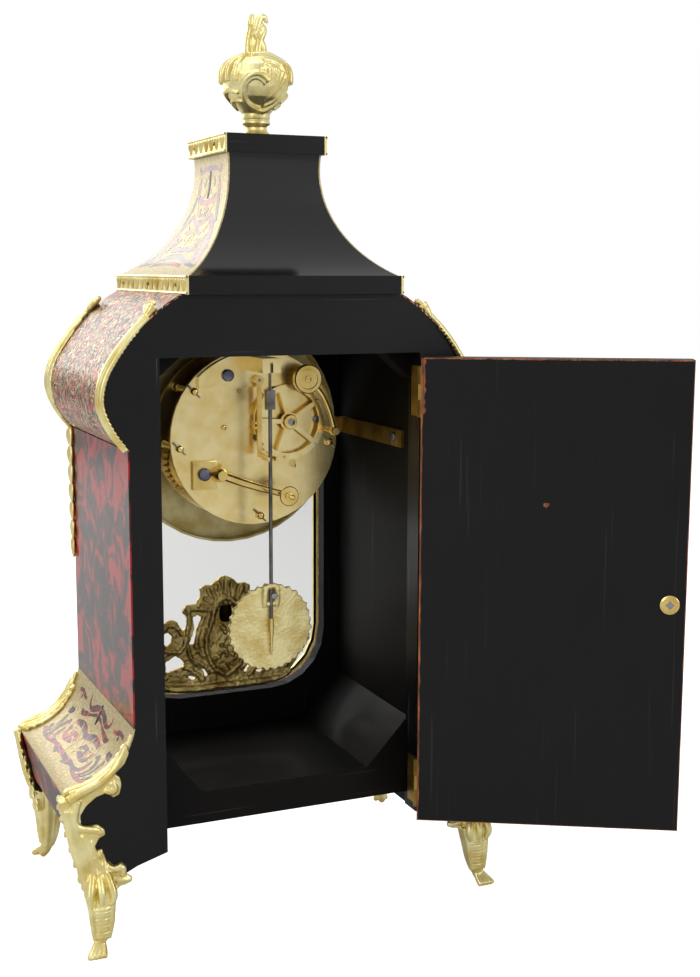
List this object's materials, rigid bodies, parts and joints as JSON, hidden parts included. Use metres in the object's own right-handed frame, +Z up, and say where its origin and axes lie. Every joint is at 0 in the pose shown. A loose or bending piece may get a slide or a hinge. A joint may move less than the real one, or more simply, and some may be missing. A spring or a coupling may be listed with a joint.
{
  "type": "bracket clock",
  "caption": "Waisted bracket clock with a pagoda roof, gilt mounts, a glazed front door, a hinged back door and a spring-driven striking pendulum movement.",
  "frame": {"origin": "middle of the plane that the four feet stand on", "axes": "+Z up, the dial faces -Y, +X to the right of someone facing the dial"},
  "size_m": [0.3084, 0.2115, 0.4624],
  "materials": {
    "black_wood": "ebonised, satin",
    "dark_inner_wood": "stained, matt",
    "tortoiseshell_veneer": "polished marquetry",
    "gilt_bronze": "gilt",
    "clear_glass": "clear",
    "polished_brass": "polished",
    "white_enamel": "fired enamel",
    "blued_steel": "blued and polished"
  },
  "bodies": {
    "case": {"side_board_right": "black_wood", "side_board_left": "black_wood", "rear_post_left": "black_wood", "rear_post_right": "black_wood", "top_rail": "black_wood", "shoulder_block_right": "black_wood", "shoulder_block_left": "black_wood", "skirt_block_right": "black_wood", "skirt_block_left": "black_wood", "floor_board": "dark_inner_wood", "glue_blocks": "dark_inner_wood", "front_panel": "black_wood", "cornice_board": "black_wood", "pagoda_roof": "black_wood", "roof_cap": "black_wood", "shoulder_veneers": "tortoiseshell_veneer", "side_veneers": "tortoiseshell_veneer", "skirt_veneers": "tortoiseshell_veneer", "front_veneer": "tortoiseshell_veneer", "roof_veneers": "tortoiseshell_veneer", "cornice_band": "gilt_bronze", "roof_band": "gilt_bronze", "finial": "gilt_bronze", "foot_rear_right": "gilt_bronze", "foot_rear_left": "gilt_bronze", "foot_front_right": "gilt_bronze", "foot_front_left": "gilt_bronze", "shoulder_mounts": "gilt_bronze", "corner_chutes": "gilt_bronze", "window_mount": "gilt_bronze", "front_hinges": "polished_brass", "dial_plate": "polished_brass", "dial_tablets": "white_enamel", "back_plate": "polished_brass", "front_plate": "polished_brass", "plate_pillars": "polished_brass", "suspension_cock": "polished_brass", "movement_fasteners": "blued_steel", "bell_stand": "polished_brass", "movement_straps": "polished_brass", "hinge_leaves_post": "polished_brass"},
    "front_door": {"front_door_frame": "gilt_bronze", "front_door_glass": "clear_glass"},
    "back_door": {"back_door": "black_wood", "hinge_leaves_door": "polished_brass"},
    "latch": {"door_latch": "polished_brass"},
    "centre": {"centre_arbor": "blued_steel", "minute_hand": "blued_steel"},
    "hour": {"hour_hand": "blued_steel"},
    "going_barrel": {"going_barrel": "polished_brass"},
    "going_second": {"going_second_wheel": "polished_brass"},
    "strike_barrel": {"strike_barrel": "polished_brass"},
    "strike_second": {"strike_second_wheel": "polished_brass", "count_wheel": "polished_brass"},
    "escape": {"escape_wheel": "polished_brass"},
    "crutch": {"pallets": "blued_steel", "crutch": "blued_steel"},
    "pendulum": {"pendulum_rod": "blued_steel", "pendulum_bob": "gilt_bronze"},
    "hammer": {"hammer": "polished_brass"}
  },
  "joints": [
    {"name": "back_door_hinge", "type": "hinge", "parent": "case", "child": "back_door", "pos_m": [-0.0688, 0.0617, 0.165], "axis": [0, 0, 1], "range_deg": [-150.5, 8]},
    {"name": "latch_turn", "type": "hinge", "parent": "back_door", "child": "latch", "pos_m": [-0.17538, 0.13142, 0.167], "axis": [0.4924, 0.8704, 0], "range_deg": [0, 90]},
    {"name": "front_door_hinge", "type": "hinge", "parent": "case", "child": "front_door", "pos_m": [0.0754, -0.0632, 0.15], "axis": [0, 0, 1], "range_deg": [0, 100]},
    {"name": "minute_turn", "type": "hinge", "parent": "case", "child": "centre", "pos_m": [0, 0, 0.245], "axis": [0, 1, 0], "continuous": true},
    {"name": "hour_turn", "type": "hinge", "parent": "case", "child": "hour", "pos_m": [0, 0, 0.245], "axis": [0, 1, 0], "continuous": true},
    {"name": "going_barrel_turn", "type": "hinge", "parent": "case", "child": "going_barrel", "pos_m": [0.021, 0, 0.23], "axis": [0, 1, 0], "continuous": true},
    {"name": "going_second_turn", "type": "hinge", "parent": "case", "child": "going_second", "pos_m": [0.0157, 0, 0.25272], "axis": [0, 1, 0], "continuous": true},
    {"name": "strike_second_turn", "type": "hinge", "parent": "case", "child": "strike_second", "pos_m": [-0.018, 0, 0.25314], "axis": [0, 1, 0], "continuous": true},
    {"name": "strike_barrel_turn", "type": "hinge", "parent": "case", "child": "strike_barrel", "pos_m": [-0.021, 0, 0.23], "axis": [0, 1, 0], "continuous": true},
    {"name": "escape_turn", "type": "hinge", "parent": "case", "child": "escape", "pos_m": [0, 0, 0.261], "axis": [0, 1, 0], "continuous": true},
    {"name": "pendulum_swing", "type": "hinge", "parent": "case", "child": "pendulum", "pos_m": [0, 0.0242, 0.276], "axis": [0, 1, 0], "range_deg": [-3, 3]},
    {"name": "crutch_swing", "type": "hinge", "parent": "case", "child": "crutch", "pos_m": [0, 0.008, 0.276], "axis": [0, 1, 0], "range_deg": [-3, 3]},
    {"name": "hammer_lift", "type": "hinge", "parent": "case", "child": "hammer", "pos_m": [-0.0405, 0.014, 0.248], "axis": [0, -1, 0], "range_deg": [0, 12]}
  ],
  "couplings": [
    {"joint": "minute_turn", "follows": "going_barrel_turn", "ratio": 36},
    {"joint": "hour_turn", "follows": "going_barrel_turn", "ratio": 3},
    {"joint": "going_second_turn", "follows": "going_barrel_turn", "ratio": -6},
    {"joint": "strike_second_turn", "follows": "strike_barrel_turn", "ratio": -6},
    {"joint": "crutch_swing", "follows": "pendulum_swing", "ratio": 1}
  ]
}
